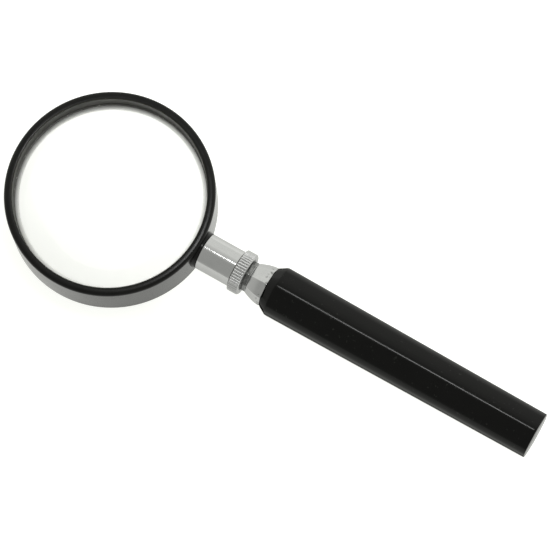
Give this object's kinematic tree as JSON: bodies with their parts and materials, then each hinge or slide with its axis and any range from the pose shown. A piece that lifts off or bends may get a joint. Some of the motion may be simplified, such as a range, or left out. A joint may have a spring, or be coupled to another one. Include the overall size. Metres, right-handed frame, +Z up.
{
  "type": "hand lens",
  "caption": "Hand magnifier: a biconvex glass in a deep black rim, a chromed threaded joint with a knurled lock nut, and a tapered hexagonal handle.",
  "frame": {"origin": "middle of the base of the whole object's bounding box, as it lies with the lens level", "axes": "+X from the lens to the free end of the handle, +Z up along the optical axis, Y across the handle"},
  "size_m": [0.1966, 0.0704, 0.0178],
  "materials": {
    "black_enamel": "gloss black stoved enamel",
    "lens_glass": "polished clear crown glass",
    "dark_wire": "blackened spring wire",
    "chrome_plate": "bright chrome plate",
    "zinc_steel": "zinc-plated steel",
    "brass": "plain turned brass",
    "black_plastic": "semi-gloss black moulding"
  },
  "bodies": {
    "handle": {"handle": "black_plastic", "handle_cap": "chrome_plate", "stud": "zinc_steel", "handle_insert": "brass"},
    "head": {"rim": "black_enamel", "lens": "lens_glass", "snap_ring": "dark_wire", "ferrule": "chrome_plate", "ferrule_screw": "zinc_steel"},
    "nut_slide": {"nut_washer": "brass"},
    "nut": {"lock_nut": "chrome_plate"}
  },
  "joints": [
    {"name": "head_turn", "type": "hinge", "parent": "handle", "child": "head", "pos_m": [-0.01575, 0, 0.00892], "axis": [1, 0, 0], "range_deg": [-180, 180]},
    {"name": "nut_travel", "type": "slide", "parent": "handle", "child": "nut_slide", "axis": [1, 0, 0], "range_m": [0, 0.0017]},
    {"name": "nut_turn", "type": "hinge", "parent": "nut_slide", "child": "nut", "pos_m": [-0.01245, 0, 0.00892], "axis": [1, 0, 0], "range_deg": [0, 810]}
  ],
  "couplings": [
    {"joint": "nut_travel", "follows": "nut_turn", "m_per_rad": 0.00011937}
  ]
}
